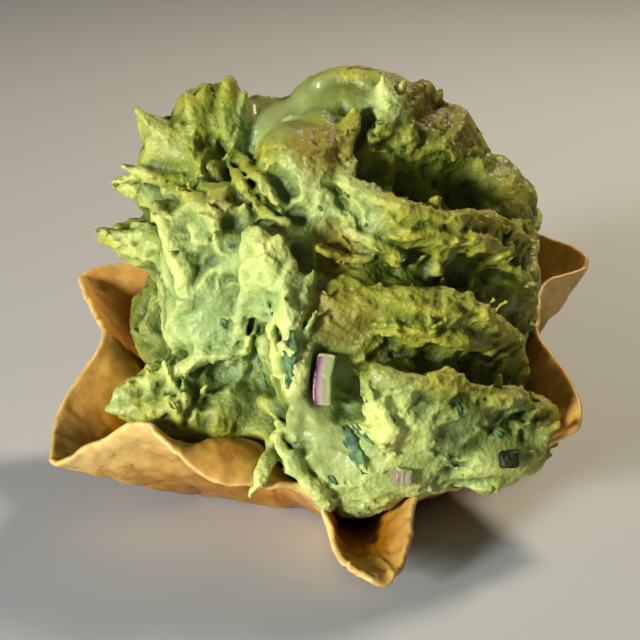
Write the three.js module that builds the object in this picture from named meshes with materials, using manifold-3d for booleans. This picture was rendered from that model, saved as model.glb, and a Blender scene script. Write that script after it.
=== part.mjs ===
// Guacamole heaped in a fluted tortilla bowl.
//
// A round flour tortilla, fried in a fluted mould, makes an edible bowl: a flat base, and a thin wall that
// folds out and in eight times on its way up to a wavy rim. The front of the wall has opened low and the back
// stands high. Chunky guacamole is spooned into it and towers over the rim in torn ledges and peaks, with
// bits of red onion and green chilli pressed into it.
//
// Millimetres, +Z up. The origin is the middle of the bowl's flat base. The open, low side faces -Y.

import * as THREE from "three";
import { mergeVertices } from "three/addons/utils/BufferGeometryUtils.js";
import { ImprovedNoise } from "three/addons/math/ImprovedNoise.js";
import Module from "manifold-3d";

const wasm = await Module();
wasm.setup();

// Driving dimensions
const WALL = 2.2; // thickness of the fried tortilla
const BASE_RADIUS = 27; // flat bottom of the bowl, on average
const CLEARANCE = 0.35; // gap left between pieces that touch
const FACET = 4.1; // about the length of a facet of the mash

const DEGREE = Math.PI / 180;

// ---------------------------------------------------------------------------------------------------------
// Solids: geometry to solid and back
// ---------------------------------------------------------------------------------------------------------

function solidFrom(geometry) {
  const bare = geometry.index ? geometry.clone() : geometry;
  bare.deleteAttribute("normal");
  bare.deleteAttribute("uv");
  const merged = mergeVertices(bare, 1e-4);
  return new wasm.Manifold(
    new wasm.Mesh({
      numProp: 3,
      vertProperties: merged.attributes.position.array,
      triVerts: new Uint32Array(merged.index.array),
    }),
  );
}

function meshFrom(solid, name, material) {
  const mesh = solid.getMesh();
  const geometry = new THREE.BufferGeometry();
  geometry.setAttribute("position", new THREE.BufferAttribute(mesh.vertProperties, 3));
  geometry.setIndex(new THREE.BufferAttribute(mesh.triVerts, 1));
  geometry.computeVertexNormals();
  const made = new THREE.Mesh(geometry, material);
  made.name = name;
  return made;
}

const joined = (solids) => solids.reduce((sum, next) => sum.add(next));

// The largest of a solid's separate bodies, so that no loose scrap is left by a cut
function largestBody(solid) {
  return solid.decompose().reduce((best, next) => (next.volume() > best.volume() ? next : best));
}

// ---------------------------------------------------------------------------------------------------------
// Tortilla bowl
// ---------------------------------------------------------------------------------------------------------

// The rim, fold by fold, anticlockwise seen from above: azimuth from +X, reach from the axis, height
const RIM = [
  [-80, 65.7, 5.3], // narrow flute at the front, opened down almost to the table
  [-75.5, 64, 5.7],
  [-71, 57.5, 8],
  [-67, 51, 11],
  [-63, 47.5, 13],
  [-50, 47.5, 13],
  [-37, 57, 19.5],
  [-28, 65, 25], // front right fold
  [-15, 58, 31],
  [-4, 51.5, 34.5],
  [6, 52.5, 39],
  [14, 56, 41],
  [20, 70.5, 43.5], // back right fold
  [34, 66, 46.5],
  [46, 51, 46],
  [66, 64, 45],
  [89, 49, 47],
  [112, 63, 44],
  [135, 49, 44],
  [157, 64, 40], // back left fold
  [170, 56, 37.5],
  [183, 51, 34],
  [192, 61, 21.5],
  [201, 64.5, 17.5],
  [209, 67, 16.5], // front left fold
  [217, 59.5, 23],
  [226, 55.5, 29.5],
  [236, 54, 25], // lip between the folds, rolled outwards
  [246, 52.5, 20.5],
  [258, 48, 19],
  [266, 46, 17],
  [271.5, 47.5, 12],
  [272.5, 52.5, 8.5],
  [275, 60, 6.5],
].map(([azimuth, reach, height]) => {
  const turn = azimuth * DEGREE;
  return new THREE.Vector3(reach * Math.cos(turn), reach * Math.sin(turn), height);
});
const RIM_STEPS = 84; // columns round the bowl
const WALL_STEPS = 6; // rows up the wall
const LIP = 0.8; // how far the rim's rounded edge stands up from the wall
const BEND = 7; // width of the curve from the base into the wall
const FOOT_SHARE = 0.4; // how far the base's edge follows the folds of the rim
const ROLL = { azimuth: 246, half: 22, rise: 29 }; // where and how strongly the wall rolls out below the rim

const MEAN_REACH = 55; // the rim's reach, on average

const rimCurve = new THREE.CatmullRomCurve3(RIM, true, "centripetal");

// How far the wall below this place of the rim is lifted, so that it rolls over to the rim
function rollAt(rim) {
  const azimuth = (Math.atan2(rim.y, rim.x) / DEGREE + 360) % 360;
  const off = Math.min(1, Math.abs(azimuth - ROLL.azimuth) / ROLL.half);
  return (ROLL.rise * (1 + Math.cos(Math.PI * off))) / 2;
}

// A point of the bowl's outer face: round is 0 to 1 along the rim, up is 0 at the base's edge, 1 at the rim
function outerFace(round, up) {
  const rim = rimCurve.getPoint(round % 1);
  const way = new THREE.Vector3(rim.x, rim.y, 0).normalize();
  const edge = BASE_RADIUS + FOOT_SHARE * (rim.clone().setZ(0).length() - MEAN_REACH);
  const foot = way.clone().multiplyScalar(edge - BEND / 2);
  const knee = way.clone().multiplyScalar(edge + BEND / 2);
  const low = foot.clone().lerp(knee, 2 / 3);
  const high = rim.clone().lerp(knee, 2 / 3);
  high.z += rollAt(rim);
  return new THREE.CubicBezierCurve3(foot, low, high, rim).getPoint(up);
}

// The same point moved square to the wall, into the bowl
function wallPoint(round, up, inward) {
  const step = 1e-3;
  const above = outerFace(round, Math.min(1, up + step));
  const below = outerFace(round, Math.max(0, up - step));
  const ahead = outerFace((round + step) % 1, up);
  const behind = outerFace((round + 1 - step) % 1, up);
  const normal = ahead.sub(behind).cross(above.sub(below)).normalize();
  return outerFace(round, up).addScaledVector(normal, -inward);
}

// A closed skin from rings of points that all have one point per column. A point at each end closes it.
function skin(rings, first, last) {
  const columns = rings[0].length;
  const points = [first, ...rings.flat(), last];
  const at = (ring, column) => 1 + ring * columns + (column % columns);
  const index = [];
  for (let column = 0; column < columns; column++) {
    index.push(0, at(0, column + 1), at(0, column));
    for (let ring = 0; ring < rings.length - 1; ring++) {
      const [a, b] = [at(ring, column), at(ring, column + 1)];
      const [c, d] = [at(ring + 1, column), at(ring + 1, column + 1)];
      index.push(a, b, d, a, d, c);
    }
    index.push(points.length - 1, at(rings.length - 1, column), at(rings.length - 1, column + 1));
  }
  const geometry = new THREE.BufferGeometry().setFromPoints(points);
  geometry.setIndex(index);
  return geometry;
}

// The bowl as a closed skin: out over the bottom, up the outside, over the rim and down the inside.
// `grown` widens it all round, for what is cut clear of it.
function bowlGeometry(grown = 0) {
  const rounds = Array.from({ length: RIM_STEPS }, (_, i) => i / RIM_STEPS);
  const ups = Array.from({ length: WALL_STEPS + 1 }, (_, i) => i / WALL_STEPS);
  const face = (inward) => ups.map((up) => rounds.map((round) => wallPoint(round, up, inward)));
  const floor = (share, z) => rounds.map((round) => outerFace(round, 0).multiplyScalar(share).setZ(z));
  const lip = rounds.map((round) => {
    const upward = outerFace(round, 1).sub(outerFace(round, 0.9));
    return wallPoint(round, 1, WALL / 2).add(upward.setLength(LIP + 1.5 * grown));
  });
  const [outside, inside] = [face(-grown), face(WALL + grown).reverse()];
  const rings = [floor(0.5, -grown), ...outside, lip, ...inside, floor(0.5, WALL + grown)];
  return skin(rings, new THREE.Vector3(0, 0, -grown), new THREE.Vector3(0, 0, WALL + grown));
}

const bowl = solidFrom(bowlGeometry());

// ---------------------------------------------------------------------------------------------------------
// Guacamole
// ---------------------------------------------------------------------------------------------------------

const noise = new ImprovedNoise();

// How far the mash stands out at a place, about -1 to 1: sharp crests `size` apart with smaller ones on them
function mashRelief(p, size) {
  let height = 0;
  let share = 1;
  let total = 0;
  for (let octave = 0; octave < 3; octave++) {
    const scale = 2 ** octave / size;
    const n = noise.noise(p.x * scale + 7.3 * octave, p.y * scale + 1.7, p.z * scale * 1.3 - 3.1 * octave);
    height += share * (1 - 3.4 * Math.abs(n));
    total += share;
    share *= 0.6;
  }
  return height / total;
}

// A lump of mash with facets about FACET long. It is a ball round `at` pushed out to three radii, boxier as
// `square` goes from 1 towards 0.5, and roughened by `crags` millimetres.
function lump(at, radii, { crags = 2, size = 12, square = 1 } = {}) {
  const mean = Math.cbrt(radii[0] * radii[1] * radii[2]);
  const geometry = new THREE.IcosahedronGeometry(1, Math.max(2, Math.round((1.2 * mean) / FACET) - 1));
  const position = geometry.attributes.position;
  const middle = new THREE.Vector3(...at);
  const p = new THREE.Vector3();
  for (let i = 0; i < position.count; i++) {
    p.fromBufferAttribute(position, i);
    const corner = p.toArray().map((v, axis) => Math.sign(v) * Math.abs(v) ** square * radii[axis]);
    p.set(...corner).add(middle);
    const out = p.clone().sub(middle).normalize();
    p.addScaledVector(out, crags * mashRelief(p, size));
    position.setXYZ(i, p.x, p.y, p.z);
  }
  return solidFrom(geometry);
}

// A closed outline's corners, with places about FACET apart between them
function paced(corners) {
  return corners.flatMap((corner, i) => {
    const next = corners[(i + 1) % corners.length];
    const steps = Math.max(1, Math.round(Math.hypot(next[0] - corner[0], next[1] - corner[1]) / FACET));
    return Array.from({ length: steps }, (_, step) =>
      corner.map((value, axis) => value + ((next[axis] - value) * step) / steps),
    );
  });
}

// A torn fold: a bar of mash along a crest line. `section` is its outline square to the crest, each corner
// given as how far it lies from the crest into the heap and to the side. `inward` is the way into the heap,
// and the side is square to it and to the crest. The fold shrinks to `ends` of its size at both ends.
function fold(crest, inward, section, { crags = 2, size = 9, ends = 0.5 } = {}) {
  const line = new THREE.CatmullRomCurve3(crest.map((point) => new THREE.Vector3(...point)));
  const outline = paced(section);
  const mean = (axis) => section.reduce((sum, corner) => sum + corner[axis], 0) / section.length;
  const steps = Math.round(line.getLength() / FACET);
  const ringAt = (share) => {
    const along = line.getTangentAt(share);
    const side = along.clone().cross(new THREE.Vector3(...inward)).normalize();
    const inner = side.clone().cross(along);
    const full = ends + (1 - ends) * Math.sin(Math.PI * share) ** 0.5;
    const place = ([deep, across]) =>
      line.getPointAt(share).addScaledVector(inner, full * deep).addScaledVector(side, full * across);
    const centre = place([mean(0), mean(1)]);
    const ring = outline.map((corner) => {
      const point = place(corner);
      const out = point.clone().sub(centre).normalize();
      return point.addScaledVector(out, crags * mashRelief(point, size));
    });
    return { centre, ring };
  };
  const rings = Array.from({ length: steps + 1 }, (_, step) => ringAt(step / steps));
  return solidFrom(skin(rings.map((made) => made.ring), rings[0].centre, rings.at(-1).centre));
}

// The section of a ledge: its level top runs `back` into the heap, its face is `tall` and cut back by `under`
function ledgeSection(back, tall, under) {
  return [[0, 0], [under * 0.4, -tall * 0.5], [under, -tall], [back, -tall], [back, 2], [back / 2, 0]];
}

// The section of a ridge: both flanks fall away from the crest, `deep` into the heap, to `wide` across
function ridgeSection(deep, wide) {
  return [[0, 0], [deep * 0.4, -wide * 0.35], [deep, -wide / 2], [deep, wide / 2], [deep * 0.4, wide * 0.35]];
}

// A torn peak: a flattened horn from its root to its tip, its middle raised by `arch`. It is stubbier as
// `blunt` grows from 2.
function peak(root, tip, { width = 5, flat = 0.8, arch = 0, blunt = 2, sides = 7, steps = 4 } = {}) {
  const [from, to] = [new THREE.Vector3(...root), new THREE.Vector3(...tip)];
  const middle = from.clone().lerp(to, 0.5).add(new THREE.Vector3(0, 0, arch));
  const line = new THREE.QuadraticBezierCurve3(from, middle, to);
  const along = to.clone().sub(from).normalize();
  const across = new THREE.Vector3(along.y, -along.x, 0.01).normalize();
  const thick = along.clone().cross(across);
  const rings = Array.from({ length: steps }, (_, step) => {
    const share = step / steps;
    const half = (width / 2) * (1 - share ** blunt);
    return Array.from({ length: sides }, (_, i) => {
      const turn = (i / sides) * 2 * Math.PI;
      return line
        .getPoint(share)
        .addScaledVector(across, half * Math.cos(turn))
        .addScaledVector(thick, half * flat * Math.sin(turn));
    });
  });
  return solidFrom(skin(rings, from, to));
}

const masses = [
  lump([4, 3, 44], [39, 30, 44], { crags: 2.5 }), // the core of the heap
  lump([1, 2, 20], [42, 41, 19]), // what fills the bowl
  lump([21, 8, 73], [18, 17, 17]), // upper right dome
  lump([38, 6, 61], [12, 14, 15]), // its shoulder
  lump([7, 6, 87], [15, 12, 10], { crags: 0.5, size: 20 }), // smooth avocado piece on top
  lump([-11, 6, 82], [13, 12, 8], { crags: 0.5, size: 20 }), // saddle beside it
  lump([-23.5, 2, 81.5], [9.5, 9, 12], { crags: 2.5 }), // upper left crags
  lump([-32.5, 0, 75.5], [8, 9, 10], { crags: 2.5 }),
  lump([-32, 0, 58], [9, 9, 12], { crags: 3 }),
  lump([-31, 4, 36], [12.5, 17, 15], { crags: 2 }), // left side, down to the wall
  lump([-21, -10, 50], [14, 18, 27], { crags: 2.5, square: 0.75 }), // left face
  lump([-27, -22, 27], [16, 13, 10], { crags: 3 }), // lower left lump
  lump([4, -27, 22], [16, 17, 14], { crags: 2.5 }), // foot of the ridge
  lump([5, -33, 20], [16, 13, 12], { crags: 3, square: 0.8 }), // what stands over the low front fold
  lump([37, 2, 48], [13, 16, 18], { crags: 3 }), // right side
  lump([38, -8, 31], [10, 13, 13]), // right side, down to the wall
  lump([-4, -12, 72], [11, 12, 17], { crags: 2, square: 0.8 }), // slope under the smooth top
  lump([33, -27, 21], [20, 15, 10], { crags: 2 }), // what hangs over the low rim
  lump([5, -23, 45], [14, 13, 17], { crags: 2.5, square: 0.75 }), // slope between the ridge and the ledges
];

const BACK = [-0.3, 1, 0]; // into the heap from the ledges

const folds = [
  // upper ledge
  fold(
    [[5, -23, 78], [11, -27, 76], [18, -29, 74], [26, -27, 71.5], [36, -20, 68], [47, -6, 60]],
    BACK, ledgeSection(26, 15, 5),
  ),
  // middle ledge
  fold(
    [[9, -35, 57], [17, -38, 57.5], [27, -37, 56], [36.5, -31, 50], [43, -21, 41]],
    BACK, ledgeSection(26, 18, 5),
  ),
  // lower ledge, out over the rim
  fold(
    [[9, -46, 43.5], [16.5, -48, 43], [27, -46, 41], [38.5, -39, 35], [51.5, -23, 26]],
    BACK, ledgeSection(30, 27, 3), { ends: 0.75 },
  ),
  // ridge down the front
  fold(
    [[-12.5, -30, 71], [-9, -34, 62.5], [-4.5, -39, 51.5], [-3.5, -41.5, 42.5], [-2, -43, 34], [6, -46, 22]],
    [0, 1, 0.3], ridgeSection(22, 26),
  ),
  // edge from the smooth top down to the upper ledge
  fold([[8, -8, 90], [5, -14, 85], [5, -22, 78]], [-0.5, 1, 0], ridgeSection(14, 15)),
  // edge of the dome beside the smooth top
  fold([[13.5, 3, 95], [15, -4, 91], [13, -9, 83]], [0.3, 1, 0], ridgeSection(12, 14)),
  // shelf under the upper left crags
  fold([[-38, -16, 71], [-27, -22, 73], [-15, -20, 68]], [0, 1, 0], ledgeSection(16, 12, 3)),
];

const peaks = [
  peak([-26, -2, 57], [-53, -2, 60.5], { width: 22, arch: -1 }),
  peak([-24, -2, 66], [-49, -2, 72], { width: 17, arch: 3 }),
  peak([-24, -2, 73], [-42.5, -2, 89], { width: 17 }),
  peak([-26, 0, 78], [-31, 0, 93.5], { width: 15, blunt: 4 }),
  peak([-22, 0, 78], [-26.5, 0, 96], { width: 13, blunt: 3 }),
  peak([-18, 0, 78], [-21, 0, 97.5], { width: 13, blunt: 3 }),
  peak([-28, -22, 26], [-51, -27, 28.5], { width: 18, flat: 0.9 }),
  peak([-31, -20, 27], [-40, -24, 38.5], { width: 12 }),
  peak([-8, -24, 54], [-13.5, -31, 71], { width: 20, flat: 0.9, blunt: 4 }), // head of the ridge
  peak([16, -38, 40], [8.5, -47, 46.5], { width: 9 }), // torn end of the lower ledge
  peak([22, -20, 68], [26, -27, 79], { width: 8 }),
];

// cave between the dome and the upper ledge
const hollows = [
  lump([18, -18, 80], [11, 9, 5], { crags: 3, size: 9 }),
  lump([36, -12, 74], [14, 9, 7], { crags: 3, size: 9 }),
];

const mashAlone = joined([...masses, ...folds, ...peaks]);

// ---------------------------------------------------------------------------------------------------------
// Bits pressed into the mash
// ---------------------------------------------------------------------------------------------------------

// A bit is a prism pressed into the mash: its outline lies flat on the mash, `deep` is its size square to it.
// `grown` widens it all round, for the pocket that it sits in.
function bitGeometry(outline, deep, grown = 0) {
  const shape = new THREE.Shape(outline.map(([x, y]) => new THREE.Vector2(x, y)));
  const geometry = new THREE.ExtrudeGeometry(shape, {
    depth: deep,
    bevelEnabled: grown > 0,
    bevelThickness: grown,
    bevelSize: grown,
    bevelSegments: 1,
  });
  return geometry.translate(0, 0, -deep / 2);
}

// A bit's place: its middle, the way its outline's +Y runs and the way its flat face looks out of the mash
function setBit(mesh, at, up, out) {
  const z = new THREE.Vector3(...out).normalize();
  const x = new THREE.Vector3(...up).cross(z).normalize();
  mesh.position.set(...at);
  mesh.quaternion.setFromRotationMatrix(new THREE.Matrix4().makeBasis(x, z.clone().cross(x), z));
  mesh.updateMatrix();
}

// A stick of red onion cut along one layer: its skin side is the slightly bowed left edge
const STICK = { wide: 4.2, long: 11, deep: 4.6, bow: 0.5 };
const stickOutline = [
  [-STICK.wide / 2, -STICK.long / 2],
  [STICK.wide / 2, -STICK.long / 2 + 0.8],
  [STICK.wide / 2 + STICK.bow, 0],
  [STICK.wide / 2 + 0.3, STICK.long / 2],
  [-STICK.wide / 2, STICK.long / 2 - 0.6],
  [-STICK.wide / 2 - STICK.bow, 0],
];
const DICE = { wide: 3.4, long: 3.8, deep: 3 };
const diceOutline = [
  [-DICE.wide / 2, -DICE.long / 2],
  [DICE.wide / 2, -DICE.long / 2 + 0.5],
  [DICE.wide / 2 - 0.4, DICE.long / 2],
  [-DICE.wide / 2 + 0.3, DICE.long / 2 - 0.3],
];
const CHILLI = { wide: 4.2, long: 3.8, deep: 2.6 };
const chilliOutline = [
  [-CHILLI.wide / 2, -CHILLI.long / 4],
  [-CHILLI.wide / 5, -CHILLI.long / 2],
  [CHILLI.wide / 2, -CHILLI.long / 4],
  [CHILLI.wide / 2 - 0.5, CHILLI.long / 2],
  [-CHILLI.wide / 6, CHILLI.long / 3],
];

const onion = new THREE.MeshStandardMaterial({ color: 0xd9cfc0, roughness: 0.3, metalness: 0 });
const chilli = new THREE.MeshStandardMaterial({ color: 0x2f4a1c, roughness: 0.35, metalness: 0 });

const bits = [
  ["red_onion_stick", stickOutline, STICK.deep, onion, [0.9, -40, 40.7], [0.1, 0.4, 0.9], [-0.1, -0.9, 0.4]],
  ["red_onion_dice", diceOutline, DICE.deep, onion, [17.6, -46.8, 21.1], [0.1, 0.2, 0.9], [0.3, -0.9, 0.2]],
  ["green_chilli_bit", chilliOutline, CHILLI.deep, chilli, [40.6, -42.6, 23.2], [0, 0.3, 1], [0.1, -1, 0.3]],
].map(([name, outline, deep, material, at, up, out]) => {
  const mesh = new THREE.Mesh(bitGeometry(outline, deep), material);
  mesh.name = name;
  setBit(mesh, at, up, out);
  const pocket = solidFrom(bitGeometry(outline, deep, CLEARANCE).applyMatrix4(mesh.matrix));
  return { mesh, pocket };
});

// ---------------------------------------------------------------------------------------------------------
// The part: the mash is cut clear of the bowl and of the bits
// ---------------------------------------------------------------------------------------------------------

const clearOfBowl = solidFrom(bowlGeometry(CLEARANCE));
const cuts = [...hollows, clearOfBowl, ...bits.map((bit) => bit.pocket)];
const mash = largestBody(cuts.reduce((left, cut) => left.subtract(cut), mashAlone));

const tortilla = new THREE.MeshStandardMaterial({ color: 0xe0a95a, roughness: 0.5, metalness: 0 });
const avocado = new THREE.MeshStandardMaterial({ color: 0xa9bb5c, roughness: 0.45, metalness: 0 });

const part = new THREE.Group();
part.add(meshFrom(bowl, "tortilla_bowl", tortilla));
part.add(meshFrom(mash, "guacamole", avocado));
bits.forEach((bit) => part.add(bit.mesh));

export default part;
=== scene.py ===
import itertools
import math

import bpy
import numpy as np
import openvdb
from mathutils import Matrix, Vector
from mathutils.bvhtree import BVHTree


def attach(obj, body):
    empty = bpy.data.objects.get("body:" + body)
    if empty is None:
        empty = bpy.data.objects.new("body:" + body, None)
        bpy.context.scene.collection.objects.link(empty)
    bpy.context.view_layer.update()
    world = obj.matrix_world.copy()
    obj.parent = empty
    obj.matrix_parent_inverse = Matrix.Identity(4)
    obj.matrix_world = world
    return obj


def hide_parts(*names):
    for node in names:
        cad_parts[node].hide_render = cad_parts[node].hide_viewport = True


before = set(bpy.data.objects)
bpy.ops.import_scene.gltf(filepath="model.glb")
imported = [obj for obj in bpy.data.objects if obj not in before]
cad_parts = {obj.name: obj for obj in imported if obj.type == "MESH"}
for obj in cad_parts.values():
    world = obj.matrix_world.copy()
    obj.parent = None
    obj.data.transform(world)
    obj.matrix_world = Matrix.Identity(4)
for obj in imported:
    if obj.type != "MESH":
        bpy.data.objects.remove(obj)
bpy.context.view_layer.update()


# ---------------------------------------------------------------------------------------------------------
# Camera. It stands a little above the rim of the bowl and looks at the middle of the heap, square to the
# bowl's low front fold.
# ---------------------------------------------------------------------------------------------------------

MM = 0.001  # lengths are millimetres, and a mesh is turned into metres when it is made
FRAME_PIXELS = 640
VIEW_DISTANCE = 400
VIEW_ELEVATION = math.radians(21.5)
VIEW_TARGET = Vector((0, 0, 38.5))
MM_PER_PIXEL = 0.234
SENSOR = 36

to_camera = Vector((0, -math.cos(VIEW_ELEVATION), math.sin(VIEW_ELEVATION)))
eye = VIEW_TARGET + to_camera * VIEW_DISTANCE
camera = bpy.data.objects.new("camera", bpy.data.cameras.new("camera"))
camera.data.sensor_width = SENSOR
camera.data.lens = SENSOR * VIEW_DISTANCE / (FRAME_PIXELS * MM_PER_PIXEL)
camera.location = eye * MM
camera.rotation_mode = "QUATERNION"
camera.rotation_quaternion = (-to_camera).to_track_quat("-Z", "Y")
bpy.context.scene.collection.objects.link(camera)
bpy.context.scene.camera = camera


# ---------------------------------------------------------------------------------------------------------
# Tortilla bowl. A round flour tortilla about 2 mm thick, pressed into a fluted mould and fried until crisp:
# eight folds run up the wall to a wavy rim, low in front and high behind. The frying blisters it, browns it
# in specks and leaves the rim paler and floury. Its colour also holds painted light: a painted highlight
# along the rim, and painted shade low on the wall and on the inner face.
# ---------------------------------------------------------------------------------------------------------

BOWL_WALL = 2.2
BOWL_BASE_RADIUS = 27
BOWL_MEAN_REACH = 55
BOWL_BEND = 7
BOWL_FOOT_SHARE = 0.4
BOWL_LIP = 0.8

# azimuth in degrees from +X, reach and height of the rim
BOWL_RIM = [
    (-80, 65.7, 5.3), (-75.5, 64, 5.7), (-71, 57.5, 8), (-67, 51, 11), (-63, 47.5, 13), (-50, 47.5, 13),
    (-37, 57, 19.5), (-28, 65, 25), (-15, 58, 31), (-4, 51.5, 34.5), (6, 52.5, 39), (14, 56, 41),
    (20, 70.5, 43.5), (34, 66, 46.5), (46, 51, 46), (66, 64, 45), (89, 49, 47), (112, 63, 44), (135, 49, 44),
    (157, 64, 40), (170, 56, 37.5), (183, 51, 34), (192, 61, 21.5), (201, 64.5, 17.5), (209, 67, 16.5),
    (217, 59.5, 23), (226, 55.5, 29.5), (236, 54, 25), (246, 52.5, 20.5), (258, 48, 19), (266, 46, 17),
    (271.5, 47.5, 12), (272.5, 52.5, 8.5), (275, 60, 6.5),
]
# between two folds at the front left the wall rolls outwards below its rim: middle, half width, rise
BOWL_ROLL = (246, 22, 29)
# what frying does to the wall: how far it moves it, and how far apart
BLISTER_HEIGHT, BLISTER_SIZE = 1.3, 5.5
SWELL_HEIGHT, SWELL_SIZE = 0.5, 10
CREASE_DEPTH, CREASE_SIZE, CREASE_WIDTH = 0.4, (15, 15, 26), 0.07
RIM_WAVES = ((1.0, 11, 13), (0.45, 3.2, 14))  # height, size and seed
RIM_THINNING = 0.35
BOWL_COLUMNS = 520
BOWL_ROWS = 64


def noise(points, seed=0):
    """Smooth noise from -1 to 1 at each point, with one bump to each unit of length."""
    draw = np.random.default_rng(seed)
    order = draw.permutation(256)
    slopes = draw.normal(size=(256, 3))
    slopes /= np.linalg.norm(slopes, axis=1)[:, None]
    cell = np.floor(points).astype(int)
    part = points - cell
    ease = part**3 * (part * (part * 6 - 15) + 10)
    total = np.zeros(len(points))
    for corner in itertools.product((0, 1), repeat=3):
        at = (cell + corner) & 255
        slope = slopes[order[(order[(order[at[:, 0]] + at[:, 1]) & 255] + at[:, 2]) & 255]]
        share = np.prod(np.where(np.array(corner) == 1, ease, 1 - ease), axis=1)
        total += share * np.einsum("ij,ij->i", slope, part - corner)
    return total * 1.5


def layered(points, size, octaves=3, fade=0.5, seed=0):
    """Noise with bumps `size` across and finer ones on them, about -1 to 1."""
    total = sum(fade**k * noise(points * 2**k / size + 17.3 * k, seed + k) for k in range(octaves))
    return total / sum(fade**k for k in range(octaves))


def smoothstep(low, high, value):
    """0 below `low`, 1 above `high` and an even ease between them."""
    share = np.clip((value - low) / (high - low), 0, 1)
    return share * share * (3 - 2 * share)


def rim_at(rounds):
    """Points of the rim, a closed centripetal curve through BOWL_RIM. `rounds` is 0 to 1 once round."""
    table = np.array(BOWL_RIM, float)
    turn = np.radians(table[:, 0])
    knots = np.stack([table[:, 1] * np.cos(turn), table[:, 1] * np.sin(turn), table[:, 2]], axis=1)
    place = (np.asarray(rounds) % 1) * len(knots)
    first = np.floor(place).astype(int)
    share = (place - first)[:, None]
    p0, p1, p2, p3 = (knots[(first + k) % len(knots)] for k in (-1, 0, 1, 2))
    d0, d1, d2 = (np.sqrt(np.linalg.norm(b - a, axis=1))[:, None] for a, b in ((p0, p1), (p1, p2), (p2, p3)))
    t1 = ((p1 - p0) / d0 - (p2 - p0) / (d0 + d1) + (p2 - p1) / d1) * d1
    t2 = ((p2 - p1) / d1 - (p3 - p1) / (d1 + d2) + (p3 - p2) / d2) * d1
    c2 = 3 * (p2 - p1) - 2 * t1 - t2
    c3 = 2 * (p1 - p2) + t1 + t2
    return p1 + t1 * share + c2 * share**2 + c3 * share**3


def bowl_face(rounds, ups):
    """The wall's outer face: `ups` runs from 0 at the edge of the flat bottom to 1 at the rim."""
    rim = rim_at(rounds)
    way = rim * (1, 1, 0)
    reach = np.linalg.norm(way, axis=1)[:, None]
    way = way / reach
    edge = BOWL_BASE_RADIUS + BOWL_FOOT_SHARE * (reach - BOWL_MEAN_REACH)
    foot, knee = way * (edge - BOWL_BEND / 2), way * (edge + BOWL_BEND / 2)
    azimuth = np.degrees(np.arctan2(rim[:, 1], rim[:, 0])) % 360
    off = np.minimum(1, np.abs(azimuth - BOWL_ROLL[0]) / BOWL_ROLL[1])
    low, high = foot + (knee - foot) * 2 / 3, rim + (knee - rim) * 2 / 3
    high[:, 2] += BOWL_ROLL[2] * (1 + np.cos(math.pi * off)) / 2
    u = np.asarray(ups)[:, None]
    return foot * (1 - u) ** 3 + low * 3 * u * (1 - u) ** 2 + high * 3 * u**2 * (1 - u) + rim * u**3


def bowl_sides(rounds, ups):
    """The outer face's points and the way out of the wall at each."""
    step = 1e-3
    along = bowl_face(rounds + step, ups) - bowl_face(rounds - step, ups)
    upward = bowl_face(rounds, np.minimum(1, ups + step)) - bowl_face(rounds, np.maximum(0, ups - step))
    out = np.cross(along, upward)
    return bowl_face(rounds, ups), out / np.linalg.norm(out, axis=1)[:, None]


def closed_rings(rings):
    """Faces of a closed skin: a middle point, rings of equal length, and a middle point."""
    count = len(rings[0])
    faces = []
    for column in range(count):
        beyond = (column + 1) % count
        faces.append((0, 1 + beyond, 1 + column))
        last = 1 + (len(rings) - 1) * count
        faces.append((last + count, last + column, last + beyond))
    for ring in range(len(rings) - 1):
        low, high = 1 + ring * count, 1 + (ring + 1) * count
        faces += [(low + c, low + (c + 1) % count, high + (c + 1) % count, high + c) for c in range(count)]
    return faces


def new_piece(name, points, faces, replaced=None):
    """A smooth-shaded piece from points in millimetres, riding on the object's one body."""
    mesh = bpy.data.meshes.new(name)
    mesh.from_pydata((np.asarray(points) * MM).tolist(), [], faces)
    mesh.shade_smooth()
    mesh.update()
    piece = bpy.data.objects.new(name, mesh)
    bpy.context.scene.collection.objects.link(piece)
    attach(piece, "root")
    if replaced:
        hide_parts(replaced)
    return piece


def keep_value(piece, name, values):
    """Stores one number for each point of a piece, for its material to read."""
    layer = piece.data.attributes.new(name, "FLOAT", "POINT")
    layer.data.foreach_set("value", np.asarray(values, np.float32))


bowl_rounds = np.arange(BOWL_COLUMNS) / BOWL_COLUMNS
bowl_ups = np.linspace(0, 1, BOWL_ROWS + 1)


def bowl_ring(up, depth):
    """One ring of the bowl's skin at height share `up`, `depth` into the wall from its outer face."""
    points, out = bowl_sides(bowl_rounds, np.full(BOWL_COLUMNS, up))
    blisters = np.maximum(0, layered(points, BLISTER_SIZE, 2, seed=12) - 0.12)
    creases = np.exp(-(noise(points / CREASE_SIZE, 15) / CREASE_WIDTH) ** 2)
    swell = SWELL_HEIGHT * layered(points, SWELL_SIZE, 2, seed=11) + BLISTER_HEIGHT * blisters
    swell -= CREASE_DEPTH * creases
    rise = sum(high * layered(points * (1, 1, 0.2), size, 2, seed=seed) for high, size, seed in RIM_WAVES)
    thin = 1 - RIM_THINNING * smoothstep(0.75, 1, up)
    moved = points - out * (depth * thin - swell * smoothstep(0.05, 0.25, up))[:, None]
    moved[:, 2] += rise * smoothstep(0.35, 1, up)
    return moved


def lip_ring(share):
    """A ring over the rim's rounded edge, from the outer face at share 0 to the inner face at share 1."""
    turn = share * math.pi
    low, high = bowl_ring(0.985, BOWL_WALL / 2), bowl_ring(1, BOWL_WALL / 2)
    upward = high - low
    upward /= np.linalg.norm(upward, axis=1)[:, None]
    side = (bowl_ring(1, 0) - bowl_ring(1, BOWL_WALL)) / BOWL_WALL
    half = BOWL_WALL / 2
    return high + side * half * math.cos(turn) + upward * BOWL_LIP * math.sin(turn)


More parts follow.
